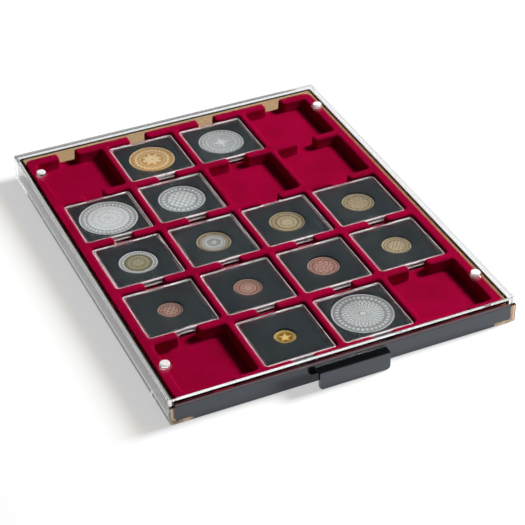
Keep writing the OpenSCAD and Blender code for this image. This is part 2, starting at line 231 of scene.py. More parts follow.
def smokedPolystyrene():
    material, tree = newMaterial("smoked polystyrene")
    place = addNode(tree, "TexCoord")
    grain = addNode(tree, "TexNoise", {"Vector": place.outputs["Object"],
                                       "Scale": perMetre / smokedLook["grainMm"],
                                       "Detail": smokedLook["grainDetail"]})
    dents = addNode(tree, "Bump", {"Height": grain.outputs["Fac"], "Strength": smokedLook["grainDepth"],
                                   "Distance": smokedLook["grainM"]})
    # painted shade: the front panel and handle are made opaque and near black, standing in for the dark
    # inside seen through the smoked plastic, except at the panel's ends and lower corners
    axes = addNode(tree, "SeparateXYZ", {0: place.outputs["Object"]})
    away = addNode(tree, "Math", {0: axes.outputs["X"]}, operation="ABSOLUTE")
    ahead = addNode(tree, "Math", {0: axes.outputs["Y"], 1: smokedLook["frontBack"] / perMetre},
                    operation="LESS_THAN")
    within = addNode(tree, "Math", {0: away.outputs[0], 1: smokedLook["frontEnd"] / perMetre},
                     operation="LESS_THAN")
    inner = addNode(tree, "Math", {0: away.outputs[0], 1: smokedLook["cornerEnd"] / perMetre},
                    operation="LESS_THAN")
    higher = addNode(tree, "Math", {0: axes.outputs["Z"], 1: smokedLook["cornerTop"] / perMetre},
                     operation="GREATER_THAN")
    either = addNode(tree, "Math", {0: inner.outputs[0], 1: higher.outputs[0]}, operation="MAXIMUM")
    panel = addNode(tree, "Math", {0: ahead.outputs[0], 1: within.outputs[0]}, operation="MULTIPLY")
    paintedPanel = addNode(tree, "Math", {0: panel.outputs[0], 1: either.outputs[0]}, operation="MULTIPLY")
    # painted light: the panel's upper edge, behind its front face, is painted paler, standing in for light
    # scattered in at its top
    above = addNode(tree, "Math", {0: axes.outputs["Z"], 1: smokedLook["topFrom"] / perMetre},
                    operation="GREATER_THAN")
    behind = addNode(tree, "Math", {0: axes.outputs["Y"], 1: smokedLook["topFront"] / perMetre},
                     operation="GREATER_THAN")
    litTopEdge = addNode(tree, "Math", {0: above.outputs[0], 1: behind.outputs[0]}, operation="MULTIPLY")
    panelShadeAndLight = addNode(tree, "Mix", {"Factor": litTopEdge.outputs[0], 6: linearColour(smokedLook["front"]),
                                    7: linearColour(smokedLook["topEdgeLight"])}, data_type="RGBA")
    tone = addNode(tree, "Mix", {"Factor": paintedPanel.outputs[0], 6: (1, 1, 1, 1), 7: panelShadeAndLight.outputs[2]},
                   data_type="RGBA")
    clear = addNode(tree, "Math", {0: 1.0, 1: paintedPanel.outputs[0]}, operation="SUBTRACT")
    plastic = addNode(tree, "BsdfPrincipled", {
        "Base Color": tone.outputs[2], "Roughness": smokedLook["roughness"], "IOR": smokedLook["ior"],
        "Transmission Weight": clear.outputs[0], "Normal": dents.outputs["Normal"],
        "Specular Tint": linearColour(smokedLook["gloss"]), "Coat Weight": smokedLook["coat"],
        "Coat Roughness": smokedLook["coatRoughness"], "Coat IOR": smokedLook["coatIor"]})
    loss = -np.log(smokedLook["left"]) / smokedLook["per"]
    dye = addNode(tree, "VolumeAbsorption", {"Color": (*(1 - loss / loss.max()).tolist(), 1.0),
                                             "Density": float(loss.max())})
    addNode(tree, "OutputMaterial", {"Surface": litThrough(tree, plastic, tone.outputs[2]),
                                     "Volume": dye.outputs[0]})
    return material


# Nylon flock on a formed sheet: short upright fibres, deep matt red with a soft sheen at a slant. Real fibres
# are finer, and the pattern is drawn as coarse as it needs to show.
flockLook = {"deep": "#94002C", "light": "#B6003E", "toneRange": (0.3, 0.7), "roughness": 0.95,
             "specular": 0.03, "sheen": "#D00A48", "sheenWeight": 0.08, "sheenRoughness": 0.45,
             "napMm": 22, "napDetail": 3.0, "napShare": 0.6, "fibreMm": 0.45, "fibreDetail": 2.0,
             "fibreShare": 0.4, "pile": 0.35, "pileM": 0.0004}


def redFlock():
    material, tree = newMaterial("red nylon flock")
    place = addNode(tree, "TexCoord")
    nap = addNode(tree, "TexNoise", {"Vector": place.outputs["Object"],
                                     "Scale": perMetre / flockLook["napMm"],
                                     "Detail": flockLook["napDetail"]})
    fibre = addNode(tree, "TexNoise", {"Vector": place.outputs["Object"],
                                       "Scale": perMetre / flockLook["fibreMm"],
                                       "Detail": flockLook["fibreDetail"]})
    share = addNode(tree, "Math", {0: nap.outputs["Fac"], 1: flockLook["napShare"]}, operation="MULTIPLY")
    mixed = addNode(tree, "Math", {0: fibre.outputs["Fac"], 1: flockLook["fibreShare"], 2: share.outputs[0]},
                    operation="MULTIPLY_ADD")
    tone = addNode(tree, "ValToRGB", {"Fac": mixed.outputs[0]})
    tone.color_ramp.elements[0].position = flockLook["toneRange"][0]
    tone.color_ramp.elements[0].color = linearColour(flockLook["deep"])
    tone.color_ramp.elements[1].position = flockLook["toneRange"][1]
    tone.color_ramp.elements[1].color = linearColour(flockLook["light"])
    pile = addNode(tree, "Bump", {"Height": fibre.outputs["Fac"], "Strength": flockLook["pile"],
                                  "Distance": flockLook["pileM"]})
    flock = addNode(tree, "BsdfPrincipled", {
        "Base Color": tone.outputs["Color"], "Roughness": flockLook["roughness"],
        "Specular IOR Level": flockLook["specular"], "Sheen Weight": flockLook["sheenWeight"],
        "Sheen Roughness": flockLook["sheenRoughness"], "Sheen Tint": linearColour(flockLook["sheen"]),
        "Normal": pile.outputs["Normal"]})
    addNode(tree, "OutputMaterial", {"Surface": flock.outputs[0]})
    return material


# Closed-cell polyethylene foam, die cut: matt charcoal with fine cells
foamLook = {"dark": "#14181B", "light": "#22282C", "roughness": 0.9, "specular": 0.15, "cellMm": 0.5,
            "cellBump": 0.3, "cellM": 0.0003}


def blackFoam():
    material, tree = newMaterial("closed-cell foam")
    place = addNode(tree, "TexCoord")
    cells = addNode(tree, "TexVoronoi", {"Vector": place.outputs["Object"],
                                         "Scale": perMetre / foamLook["cellMm"]})
    tone = addNode(tree, "ValToRGB", {"Fac": cells.outputs["Distance"]})
    tone.color_ramp.elements[0].color = linearColour(foamLook["dark"])
    tone.color_ramp.elements[1].color = linearColour(foamLook["light"])
    dents = addNode(tree, "Bump", {"Height": cells.outputs["Distance"], "Strength": foamLook["cellBump"],
                                   "Distance": foamLook["cellM"]})
    foam = addNode(tree, "BsdfPrincipled", {
        "Base Color": tone.outputs["Color"], "Roughness": foamLook["roughness"],
        "Specular IOR Level": foamLook["specular"], "Normal": dents.outputs["Normal"]})
    addNode(tree, "OutputMaterial", {"Surface": foam.outputs[0]})
    return material


# Struck coin metal with satin fields. Painted shade and highlight: the colour is darker in the hollows and
# brighter on the high points, showing the relief as light on it would. The tone is at its brightest from the
# highFrom share of the relief's height.
coinFinish = {"roughness": 0.31, "spread": 0.03, "handledMm": 1.5, "handledDetail": 3.0, "highFrom": 0.45}
coinMetals = {
    "silver": {"high": "#F0F0F0", "low": "#ACACAC"},
    "toned silver": {"high": "#D2D2D2", "low": "#949494"},
    "gold": {"high": "#FFE6BC", "low": "#CFA264"},
    "bright gold": {"high": "#FFDE88", "low": "#946A20"},
    "brass": {"high": "#CEBC9E", "low": "#8A7654"},
    "copper": {"high": "#D0A698", "low": "#885C4E"},
    "nickel": {"high": "#DADAD8", "low": "#A4A4A2"},
    "nickel brass": {"high": "#B4AA8C", "low": "#7A7050"},
}


def coinMetal(place, metal, core, coreRadius):
    # a two-tone coin mixes its ring and core by the distance from the coin's middle
    material, tree = newMaterial("struck " + metal + " " + place)
    where = addNode(tree, "TexCoord")
    relief = addNode(tree, "Attribute", attribute_name="relief")
    # the relief attribute paints shade in the hollows and highlight on the high points
    tones = []
    kinds = [metal, core] if core else [metal]
    for kind in kinds:
        tone = addNode(tree, "ValToRGB", {"Fac": relief.outputs["Fac"]})
        tone.color_ramp.elements[0].color = linearColour(coinMetals[kind]["low"])
        tone.color_ramp.elements[1].position = coinFinish["highFrom"]
        tone.color_ramp.elements[1].color = linearColour(coinMetals[kind]["high"])
        tones.append(tone.outputs["Color"])
    colour = tones[0]
    if core:
        middle = centreMm("coin_" + place) / perMetre
        centred = addNode(tree, "Mapping", {"Vector": where.outputs["Object"], "Location": tuple(-middle)})
        flat = addNode(tree, "VectorMath", {0: centred.outputs[0], 1: (1, 1, 0)}, operation="MULTIPLY")
        reach = addNode(tree, "VectorMath", {0: flat.outputs[0]}, operation="LENGTH")
        inside = addNode(tree, "Math", {0: reach.outputs["Value"], 1: coreRadius / perMetre},
                         operation="LESS_THAN")
        pick = addNode(tree, "Mix", {"Factor": inside.outputs[0], 6: tones[0], 7: tones[1]}, data_type="RGBA")
        colour = pick.outputs[2]
    handled = addNode(tree, "TexNoise", {"Vector": where.outputs["Object"],
                                         "Scale": perMetre / coinFinish["handledMm"],
                                         "Detail": coinFinish["handledDetail"]})
    rough = addNode(tree, "MapRange", {"Value": handled.outputs["Fac"],
                                       "To Min": coinFinish["roughness"] - coinFinish["spread"],
                                       "To Max": coinFinish["roughness"] + coinFinish["spread"]})
    struck = addNode(tree, "BsdfPrincipled", {
        "Base Color": colour, "Metallic": 1.0, "Roughness": rough.outputs["Result"]})
    addNode(tree, "OutputMaterial", {"Surface": struck.outputs[0]})
    return material


def roundedBox(x, y, halfX, halfY, radius):
    # signed distance to a rectangle with round corners, below zero inside
    outX = np.abs(x) - halfX + radius
    outY = np.abs(y) - halfY + radius
    return np.hypot(np.maximum(outX, 0), np.maximum(outY, 0)) + np.minimum(np.maximum(outX, outY), 0) - radius


# Mouldings: the CAD shapes with small radii where the tool leaves them. Lengths are in mm.
caseLow, caseHigh = boxMm("case")
mouldingRadius = {"case": 0.4, "nub": 0.6, "drawer": 0.25, "capsule": 0.85, "parting": 0.4}
edgeReach = {"level": 0.01, "caseSide": 1.7, "capsuleSide": 0.6}
capsuleRim = {"corner": 2.0, "width": 2.3, "skin": 0.3, "levelFrom": 0.5}


def caseEdge(ends):
    # outer upright faces, the front opening and the upper edges, but not the low steps round the nubs
    atSide = np.isclose(np.abs(ends[:, 0]), caseHigh[0], atol=edgeReach["caseSide"])
    atBack = np.isclose(ends[:, 1], caseHigh[1], atol=edgeReach["caseSide"])
    atFront = np.isclose(ends[:, 1], caseLow[1], atol=edgeReach["level"])
    return bool((atSide | atBack | atFront).all())


def nubEdge(ends):
    # edges at the very top, which only the nubs reach
    return bool(np.isclose(ends[:, 2], caseHigh[2], atol=edgeReach["level"]).all())


def anyEdge(ends):
    return True


def caseFinish(point, face):
    # the nubs' tops are frosted near white, a painted highlight, and the rest is clear
    return 1 if point[2] > caseHigh[2] - mouldingRadius["nub"] else 0


def makeCapsule(place, materials):
    # radii go on the lid's upper and the base's lower edges, and on both sides of the parting line
    baseLow = boxMm("capsule_base_" + place)[0]
    lidLow, lidHigh = boxMm("capsule_lid_" + place)
    middle = (lidLow + lidHigh) / 2
    half = (lidHigh[0] - lidLow[0]) / 2

    def levelWith(height):
        return lambda ends: bool(np.isclose(ends[:, 2], height, atol=edgeReach["level"]).all())

    def partingEdge(ends):
        away = np.abs(ends[:, :2] - middle[:2]).max(axis=1)
        atLine = np.isclose(ends[:, 2], lidLow[2], atol=edgeReach["level"])
        return bool((atLine & (away > half - edgeReach["capsuleSide"])).all())

    def capsuleFinish(point, face):
        # the level faces of the tongue and groove are hazed and tinted as painted light for what real joints
        # reflect, and the walls and the plates are clear
        inside = -roundedBox(*(point - middle)[:2], half, half, capsuleRim["corner"])
        level = abs(face.normal.z) > capsuleRim["levelFrom"]
        joint = capsuleRim["skin"] < inside < capsuleRim["width"] and level
        return 1 if joint else face.material_index

    parting = (mouldingRadius["parting"], partingEdge)
    lid = bevelledCopy("capsule_lid_" + place, "lidMoulding_" + place, materials, "drawer",
                       [(mouldingRadius["capsule"], levelWith(lidHigh[2])), parting], capsuleFinish)
    base = bevelledCopy("capsule_base_" + place, "baseMoulding_" + place, materials, "drawer",
                        [(mouldingRadius["capsule"], levelWith(baseLow[2])), parting], capsuleFinish)
    return lid + base


casePlastic = [clearPolystyrene("clear case polystyrene"), clearPolystyrene("frosted polystyrene")]
caseFaces = bevelledCopy("case", "caseMoulding", casePlastic, "case",
                         [(mouldingRadius["case"], caseEdge), (mouldingRadius["nub"], nubEdge)], caseFinish)
print("case:", caseFaces, "faces")
drawerFaces = bevelledCopy("drawer", "drawerMoulding", [smokedPolystyrene()], "drawer",
                           [(mouldingRadius["drawer"], anyEdge)])
print("drawer:", drawerFaces, "faces")
capsulePlastic = [clearPolystyrene("clear capsule polystyrene"), clearPolystyrene("hazed polystyrene")]
print("capsules:", sum(makeCapsule(place, capsulePlastic) for place in places), "faces")

# Tray: one formed sheet. Its height follows the distance from the outline of its walls. Lengths are in mm.
trayLook = {"pocketRadius": 2.2, "pocketGap": 0.3, "notch": 12.5, "notchCorner": 0.1, "tabRadius": 2.6,
            "cornerRadius": 5.0, "topRise": 1.6, "topRun": 2.0, "outerRise": 0.5, "outerRun": 0.5,
            "footRadius": 0.4, "bendSteps": 8, "draft": 0.25, "sheet": 1.0, "thinnest": 0.3, "rest": 0.03,
            "coarseStep": 6.0, "closestLines": 0.08,
            "edgeSteps": [-2.4, -1.7, -1.1, -0.6, -0.25, 0, 0.27, 0.4, 0.7, 1.0, 1.35, 1.8, 2.3]}
columns = 4
rows = 5
trayLow, trayHigh = boxMm("tray")
capsuleLow, capsuleHigh = boxMm("capsule_base_r2c1")
pitch = np.array([centreMm("capsule_base_r2c2")[0] - centreMm("capsule_base_r2c1")[0],
                  centreMm("capsule_base_r2c2")[1] - centreMm("capsule_base_r1c2")[1]])
firstPocket = centreMm("capsule_base_r2c1")[:2] - [0, pitch[1]]
pocketHalf = (capsuleHigh[0] - capsuleLow[0]) / 2 + trayLook["pocketGap"]


def wallDistances(x, y):
    # distance into a wall from the nearest pocket or notch, and from the tray's own outline
    column = np.clip(np.round((x - firstPocket[0]) / pitch[0]), 0, columns - 1)
    row = np.clip(np.round((y - firstPocket[1]) / pitch[1]), 0, rows - 1)
    fromX = x - firstPocket[0] - column * pitch[0]
    pocket = roundedBox(fromX, y - firstPocket[1] - row * pitch[1], pocketHalf, pocketHalf,
                        trayLook["pocketRadius"])
    gap = np.clip(np.round((y - firstPocket[1]) / pitch[1] + 0.5), 0, rows)
    notch = roundedBox(fromX, y - firstPocket[1] - (gap - 0.5) * pitch[1], trayLook["notch"] / 2,
                       pitch[1] / 4, trayLook["notchCorner"])
    # where a pocket meets a notch, the end of the wall is round
    bend = trayLook["tabRadius"]
    corner = np.hypot(np.maximum(bend - pocket, 0), np.maximum(bend - notch, 0))
    opening = np.maximum(bend, np.minimum(pocket, notch)) - corner
    middle = (trayLow + trayHigh) / 2
    half = (trayHigh - trayLow) / 2
    outline = -roundedBox(x - middle[0], y - middle[1], half[0], half[1], trayLook["cornerRadius"])
    return opening, outline


def formedHeight(into, low, high, rise, run):
    # wall section: a small fillet at the foot, a slight draft, and a quarter ellipse up to the top
    foot = trayLook["footRadius"]
    turn = np.linspace(0, math.pi / 2, trayLook["bendSteps"])
    footX = -foot + foot * np.sin(turn)
    footZ = low + foot - foot * np.cos(turn)
    topX = trayLook["draft"] + run - run * np.cos(turn)
    topZ = high - rise + rise * np.sin(turn)
    return np.interp(into, np.concatenate([footX, topX]), np.concatenate([footZ, topZ]))


def edgeLines(edges, low, high):
    # grid lines close together round each edge and a coarse step apart elsewhere
    close = np.concatenate([edge + side * np.array(trayLook["edgeSteps"]) for edge, side in edges])
    coarse = np.arange(low, high, trayLook["coarseStep"])
    lines = np.unique(np.round(np.concatenate([close, coarse, [low, high]]), 2))
    lines = lines[(lines >= low) & (lines <= high)]
    return lines[np.concatenate([[True], np.diff(lines) > trayLook["closestLines"]])]


def makeTray(material):
    # an upper and a lower height over one grid, closed by a skirt round the outline
    centresX = firstPocket[0] + pitch[0] * np.arange(columns)
    centresY = firstPocket[1] + pitch[1] * np.arange(rows)
    reaches = (pocketHalf, trayLook["notch"] / 2)
    edgesX = [(centre + side * reach, side) for centre in centresX for side in (-1, 1) for reach in reaches]
    edgesY = [(centre + side * pocketHalf, side) for centre in centresY for side in (-1, 1)]
    lineX = edgeLines(edgesX + [(trayLow[0], 1), (trayHigh[0], -1)], trayLow[0], trayHigh[0])
    lineY = edgeLines(edgesY + [(trayLow[1], 1), (trayHigh[1], -1)], trayLow[1], trayHigh[1])
    x, y = [grid.ravel() for grid in np.meshgrid(lineX, lineY)]
    # points outside the round corners move onto the outline
    inset = trayLook["cornerRadius"]
    middle = (trayLow + trayHigh) / 2
    half = (trayHigh - trayLow) / 2 - inset
    fromX = x - middle[0] - np.clip(x - middle[0], -half[0], half[0])
    fromY = y - middle[1] - np.clip(y - middle[1], -half[1], half[1])
    shrink = np.minimum(1, inset / np.maximum(np.hypot(fromX, fromY), 1e-9))
    x = x - fromX * (1 - shrink)
    y = y - fromY * (1 - shrink)
    opening, outline = wallDistances(x, y)
    floor = capsuleLow[2] - trayLook["rest"]
    rim = trayHigh[2]
    sheet = trayLook["sheet"]
    draft = trayLook["draft"]
    inner = (trayLook["topRise"], trayLook["topRun"])
    outer = (trayLook["outerRise"], trayLook["outerRun"])
    top = np.minimum(formedHeight(opening, floor, rim, *inner),
                     formedHeight(outline + draft, floor, rim, *outer))
    under = np.minimum(formedHeight(opening - sheet, floor, rim, *inner),
                       formedHeight(outline - sheet, floor, rim, *outer)) - sheet
    count = len(x)
    upper = np.stack([x, y, top], axis=1)
    lower = np.stack([x, y, np.minimum(under, top - trayLook["thinnest"])], axis=1)
    quads = gridQuads(len(lineY), len(lineX))
    index = np.arange(count).reshape(len(lineY), len(lineX))
    border = np.concatenate([index[0, :-1], index[:-1, -1], index[-1, :0:-1], index[:0:-1, 0]])
    nextOne = np.roll(border, -1)
    skirt = np.stack([border + count, nextOne + count, nextOne, border], axis=1)
    faces = np.concatenate([quads, quads[:, ::-1] + count, skirt])
    piece = makePiece("flockedTray", np.concatenate([upper, lower]), faces, material, "drawer")
    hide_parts("tray")
    print("tray:", len(lineX), "x", len(lineY), "lines,", len(faces), "faces")


makeTray(redFlock())


# Foam inlays: a square with a round hole. A section through the ring is carried round the hole. Lengths are
# in mm, and across holds shares of the way from the hole to the outline.
foamShape = {"edge": 0.25, "holeGap": 0.1, "corner": 1.0, "roundSteps": 160, "bendSteps": 4,
             "across": [0.25, 0.5, 0.75]}


def squareReach(angle, half, radius):
    # distance from the middle to a square with round corners, in the direction of the angle
    cosine = np.abs(np.cos(angle))
    sine = np.abs(np.sin(angle))
    straight = half / np.maximum(cosine, sine)
    along = (half - radius) * (cosine + sine)
    bend = along + np.sqrt(np.maximum(along ** 2 - 2 * (half - radius) ** 2 + radius ** 2, 0))
    return np.where(np.minimum(cosine, sine) * straight <= half - radius, straight, bend)


def makeFoam(place, material):
    low, high = boxMm("foam_inlay_" + place)
    coinLow, coinHigh = boxMm("coin_" + place)
    middle = (low + high) / 2
    half = (high[0] - low[0]) / 2
    hole = (coinHigh[0] - coinLow[0]) / 2 + foamShape["holeGap"]
    edge = foamShape["edge"]
    angle = np.linspace(0, 2 * math.pi, foamShape["roundSteps"], endpoint=False)
    turn = np.linspace(0, math.pi / 2, foamShape["bendSteps"])
    # section: share of the way from the hole to the outline, inset from that end, and height
    hollow = [(0, edge * (1 - math.sin(t)), low[2] + edge * (1 - math.cos(t))) for t in turn]
    hollow += [(0, edge * (1 - math.cos(t)), high[2] - edge * (1 - math.sin(t))) for t in turn]
    above = [(share, 0, high[2]) for share in foamShape["across"]]
    outer = [(1, edge * (1 - math.sin(t)), high[2] - edge * (1 - math.cos(t))) for t in turn]
    outer += [(1, edge * (1 - math.cos(t)), low[2] + edge * (1 - math.sin(t))) for t in turn]
    below = [(share, 0, low[2]) for share in reversed(foamShape["across"])]
    section = np.array(hollow + above + outer + below)
    share, inset, height = [column[:, None] for column in section.T]
    outline = squareReach(angle, half, foamShape["corner"])[None, :]
    between = hole + share * (outline - hole)
    reach = np.where(share == 0, hole + inset, np.where(share == 1, outline - inset, between))
    points = np.stack([middle[0] + reach * np.cos(angle), middle[1] + reach * np.sin(angle),
                       np.broadcast_to(height, reach.shape)], axis=-1).reshape(-1, 3)
    faces = gridQuads(len(section), len(angle), True, True)[:, ::-1]
    piece = makePiece("foamInlay_" + place, points, faces, material, "drawer")
    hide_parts("foam_inlay_" + place)


foamMaterial = blackFoam()
for place in places:
    makeFoam(place, foamMaterial)
print("foam inlays:", len(places))


# Coin reliefs: heights from 0 to 1 over the field, worked out from the reach, which is the distance to the
# coin's middle, and the angle. All distances and widths are shares of the field's radius.
def foldAngle(angle, count, start=0.0):
    # the angle from the nearest of so many even spokes
    step = 2 * math.pi / count
    return (angle - start + step / 2) % step - step / 2


def ringLine(reach, at, width):
    # a soft line: exp(-(distance / width) squared)
    return np.exp(-((reach - at) / width) ** 2)


def dotRing(reach, angle, count, at, size):
    # half balls on a ring: the root of 1 - (distance / size) squared
    fold = foldAngle(angle, count)
    away = (reach * np.cos(fold) - at) ** 2 + (reach * np.sin(fold)) ** 2
    return np.sqrt(np.maximum(1 - away / size ** 2, 0))


def heartDome(reach, size):
    # half a ball in the middle
    return np.sqrt(np.maximum(1 - (reach / size) ** 2, 0))


def leafRing(reach, angle, count, at, length, width, tilt, groove=0.6, grooveWidth=0.16):
    # pointed leaves with a groove along the middle, each turned by the tilt
    fold = foldAngle(angle, count)
    x = reach * np.cos(fold) - at
    y = reach * np.sin(fold)
    along = (x * math.cos(tilt) + y * math.sin(tilt)) / length
    across = (y * math.cos(tilt) - x * math.sin(tilt)) / width
    side = np.maximum(1 - along ** 2, 1e-6)
    body = np.where(np.abs(along) < 1, np.maximum(1 - (across / side) ** 2, 0), 0)
    return body ** 0.5 * (1 - groove * np.exp(-(across / grooveWidth) ** 2))


def starPeak(reach, angle, count, tip, notch, start=0.0):
    # a faceted star: height falls evenly from the middle to its straight-sided outline
    fold = np.abs(foldAngle(angle, count, start))
    half = math.pi / count
    outline = tip * notch * math.sin(half) / (
        notch * math.sin(half) * np.cos(fold) - (notch * math.cos(half) - tip) * np.sin(fold))
    return np.maximum(1 - reach / outline, 0)


def barRing(reach, angle, count, at, half, slope=0.25, steepness=2.5, lift=0.6):
    # short even bars round the field: a clipped sine along the ring, with sloped ends
    beat = np.sin(count * angle)
    window = np.clip((half - np.abs(reach - at)) / (slope * half), 0, 1)
    return np.clip(steepness * beat + lift, 0, 1) * window


def rayFan(reach, angle, count, start, end, startSlope=0.03, endSlope=0.05):
    # rays between two distances: the size of a sine of the angle
    window = np.clip((reach - start) / startSlope, 0, 1) * np.clip((end - reach) / endSlope, 0, 1)
    return np.abs(np.sin(count * angle / 2)) * window


def compassRose(reach, angle, points):
    # two crossed stars over fine rays, inside a ring of fine marks
    wide = starPeak(reach, angle, points, tip=0.62, notch=0.14)
    slant = starPeak(reach, angle, points, tip=0.44, notch=0.12, start=math.pi / points)
    scale = np.clip(3 * np.sin(72 * angle), 0, 1) * (np.abs(reach - 0.72) < 0.03)
    rays = rayFan(reach, angle, 64, start=0.2, end=0.64)
    return np.maximum.reduce([1.4 * wide, 1.2 * slant, 0.6 * scale, 0.25 * rays,
                              ringLine(reach, at=0.66, width=0.012),
                              barRing(reach, angle, 30, at=0.85, half=0.05)])


def guilloche(reach, angle, lobes):
    # bands of waves that cross each other, closed by a thin ring
    height = ringLine(reach, at=0.71, width=0.014)
    for at, swing in ((0.57, 0.1), (0.34, 0.09), (0.15, 0.08)):
        for turn in range(4):
            wave = np.sin(round(lobes * at) * angle + turn * math.pi / 2)
            height = np.maximum(height, ringLine(reach, at=at + swing * wave, width=0.022))
    return np.maximum(height, barRing(reach, angle, 38, at=0.84, half=0.055))


def turnedRays(reach, angle, count, curl=9, sharpness=1.2):
    # rays that curl both ways and leave small lozenges, as an engine lathe cuts them
    left = np.abs(np.sin(count / 2 * angle + curl * reach))
    right = np.abs(np.sin(count / 2 * angle - curl * reach))
    window = np.clip((0.7 - reach) / 0.03, 0, 1) * np.clip((reach - 0.12) / 0.04, 0, 1)
    return np.maximum.reduce([(left * right) ** sharpness * window, heartDome(reach, size=0.1),
                              barRing(reach, angle, 36, at=0.84, half=0.055)])


def flowerInWreath(reach, angle, petals):
    # a flower of broad petals in a wreath of slanting leaves
    flower = leafRing(reach, angle, petals, at=0.25, length=0.22, width=0.1, tilt=0.0)
    wreath = leafRing(reach, angle, 26, at=0.74, length=0.13, width=0.055, tilt=0.9)
    return np.maximum.reduce([flower, wreath, 0.7 * ringLine(reach, at=0.56, width=0.014)])


def rosette(reach, angle, petals):
    # two rings of leaves round a raised heart
    inner = leafRing(reach, angle, petals, at=0.26, length=0.2, width=0.05, tilt=0.0)
    outer = leafRing(reach, angle, 2 * petals, at=0.52, length=0.15, width=0.045, tilt=0.5)
    return np.maximum.reduce([0.8 * inner, 0.8 * outer, heartDome(reach, size=0.07),
                              barRing(reach, angle, 2 * petals, at=0.8, half=0.07)])


def lattice(reach, angle, count, lean=0.8):
    # small lozenges between crossing lines
    x = reach * np.cos(angle)
    y = reach * np.sin(angle)
    lozenges = np.abs(np.sin(count * (x + lean * y)) * np.sin(count * (x - lean * y)))
    window = np.clip((0.64 - reach) / 0.03, 0, 1)
    return np.maximum(lozenges * window, barRing(reach, angle, 26, at=0.81, half=0.07))


def boldStar(reach, angle, points):
    # a flat star with sloped sides, on a field edged with dots
    star = np.clip(4 * starPeak(reach, angle, points, tip=0.74, notch=0.3), 0, 1)
    return np.maximum(star, dotRing(reach, angle, 5 * points, at=0.86, size=0.06))


def starSeal(reach, angle, points):
    # a faceted star in a ring of slanting leaves
    star = starPeak(reach, angle, points, tip=0.32, notch=0.13)
    wreath = leafRing(reach, angle, 4 * points, at=0.5, length=0.13, width=0.045, tilt=0.7)
    return np.maximum.reduce([star, 0.8 * wreath, 0.6 * ringLine(reach, at=0.66, width=0.02),
                              barRing(reach, angle, 4 * points, at=0.81, half=0.06)])


# What lies in each pocket: metal, design and its count, and for a two-tone coin the core's metal and share of
# the radius
coinLooks = {
    "r1c2": ("bright gold", boldStar, 5, None, 0),
    "r1c3": ("toned silver", turnedRays, 28, None, 0),
    "r2c1": ("copper", lattice, 7, None, 0),
    "r2c2": ("copper", rosette, 15, None, 0),
    "r2c3": ("copper", turnedRays, 8, None, 0),
    "r2c4": ("brass", lattice, 10, None, 0),
    "r3c1": ("silver", rosette, 16, "nickel brass", 0.73),
    "r3c2": ("brass", starSeal, 9, "nickel", 0.72),
    "r3c3": ("brass", rosette, 18, None, 0),
    "r3c4": ("brass", turnedRays, 9, None, 0),
    "r4c1": ("silver", guilloche, 26, None, 0),
    "r4c2": ("silver", lattice, 12, None, 0),
    "r5c2": ("gold", flowerInWreath, 8, None, 0),
    "r5c3": ("silver", compassRose, 4, None, 0),
}
# Lengths are in mm. A design ends just inside the rim, and a two-tone coin has a seam round its core.
coinShape = {"rimMm": 0.9, "riseMm": 0.25, "lipMm": [0.1, 0.25, 0.4], "bevelMm": 0.15, "fieldDepthMm": 0.2,
             "reliefMm": 0.19, "stepMm": 0.3, "roundSteps": 1.3, "designEnd": 0.98,
             "seamMm": 0.25, "seamDepth": 1.2, "seamFloor": -0.5}


def makeCoin(place):
    # rings of points with the relief as height, the same on both faces, joined at the edge
    metal, design, designCount, core, coreShare = coinLooks[place]
    low, high = boxMm("coin_" + place)
    middle = (low + high) / 2
    radius = (high[0] - low[0]) / 2
    rim = coinShape["rimMm"]
    bevel = coinShape["bevelMm"]
    field = np.arange(1, int((radius - rim) / coinShape["stepMm"]) + 1) * coinShape["stepMm"]
    lip = radius - rim + np.array(coinShape["lipMm"])
    rings = np.concatenate([field, lip, [radius - bevel, radius]])
    count = int(2 * math.pi * radius / (coinShape["roundSteps"] * coinShape["stepMm"]))
    angle = np.linspace(0, 2 * math.pi, count, endpoint=False)
    reach, turn = np.meshgrid(rings, angle, indexing="ij")
    share = reach / (radius - rim)
    struck = design(share * coinShape["designEnd"], turn, designCount)
    relief = np.where(share < 1, np.clip(struck, 0, 1), 0)
    if core:
        seam = np.exp(-((reach - coreShare * radius) / coinShape["seamMm"]) ** 2)
        relief = np.maximum(relief - coinShape["seamDepth"] * seam, coinShape["seamFloor"])
    # field below the rim, plus the design, then the rim's slope, its flat top and a bevel at the edge
    rise = np.clip((reach - radius + rim) / coinShape["riseMm"], 0, 1)
    down = coinShape["fieldDepthMm"] * (1 - rise) - coinShape["reliefMm"] * relief * (1 - rise)
    down = np.where(reach >= radius, bevel, down)
    # painted shade and highlight: the colour tone follows the height, brightest on the rim and the high
    # points
    tone = np.maximum(relief, rise)
    x = middle[0] + reach * np.cos(turn)
    swing = reach * np.sin(turn)
    front = np.stack([x, middle[1] + swing, high[2] - down], axis=-1)
    back = np.stack([x, middle[1] - swing, low[2] + down], axis=-1)
    hubs = [[middle[0], middle[1], front[0, :, 2].mean()], [middle[0], middle[1], back[0, :, 2].mean()]]
    points = np.concatenate([front.reshape(-1, 3), back.reshape(-1, 3), hubs])
    body = len(rings) * count
    edge = body - count
    quads = gridQuads(len(rings), count, False, True)
    one = np.arange(count)
    two = (one + 1) % count
    mirror = (-one) % count
    mirrorNext = (-two) % count
    side = np.stack([edge + one, body + edge + mirror, body + edge + mirrorNext, edge + two], axis=1)
    hub = np.full(count, 2 * body)
    frontFan = np.stack([hub, one, two], axis=1)
    backFan = np.stack([hub + 1, body + one, body + two], axis=1)
    faces = [*quads, *(quads + body), *side, *frontFan, *backFan]
    material = coinMetal(place, metal, core, coreShare * radius)
    piece = makePiece("coinRelief_" + place, points, faces, material, "drawer")
    level = piece.data.attributes.new("relief", "FLOAT", "POINT")
    values = np.concatenate([tone.ravel(), tone.ravel(), [tone[0].mean(), tone[0].mean()]])
    level.data.foreach_set("value", values.astype(np.float32))
    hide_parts("coin_" + place)
    return len(faces)


print("coins:", sum(makeCoin(place) for place in places), "faces")

